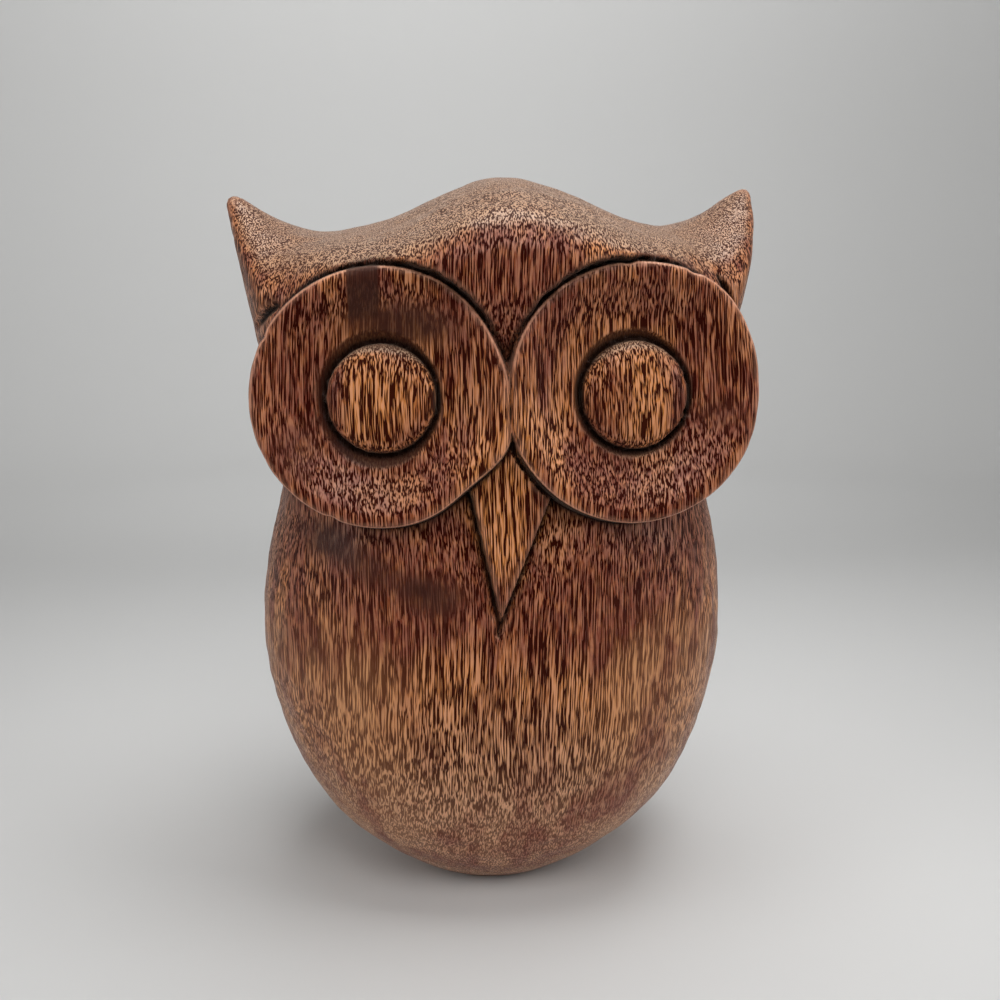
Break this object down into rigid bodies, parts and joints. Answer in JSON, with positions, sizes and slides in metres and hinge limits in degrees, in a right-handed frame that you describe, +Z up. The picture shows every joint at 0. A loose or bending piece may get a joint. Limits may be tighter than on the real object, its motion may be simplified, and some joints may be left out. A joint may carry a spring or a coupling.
{
  "type": "carved wooden owl sculpture",
  "caption": "Solid carved wooden owl with an egg shaped body, horned ears, big dished eye discs and a kite shaped beak; stands on its flat base as a shelf ornament.",
  "frame": {"origin": "centre of the flat underside that the carving stands on", "axes": "+Z up along the body, the face looks along -Y, +X to the right as one looks at the face"},
  "size_m": [0.1304, 0.1024, 0.1822],
  "materials": {
    "stained_wood": "open pored hardwood, dark brown stain left in the pores and grooves, satin lacquer"
  },
  "bodies": {
    "root": {"carved_owl": "stained_wood"}
  },
  "joints": []
}
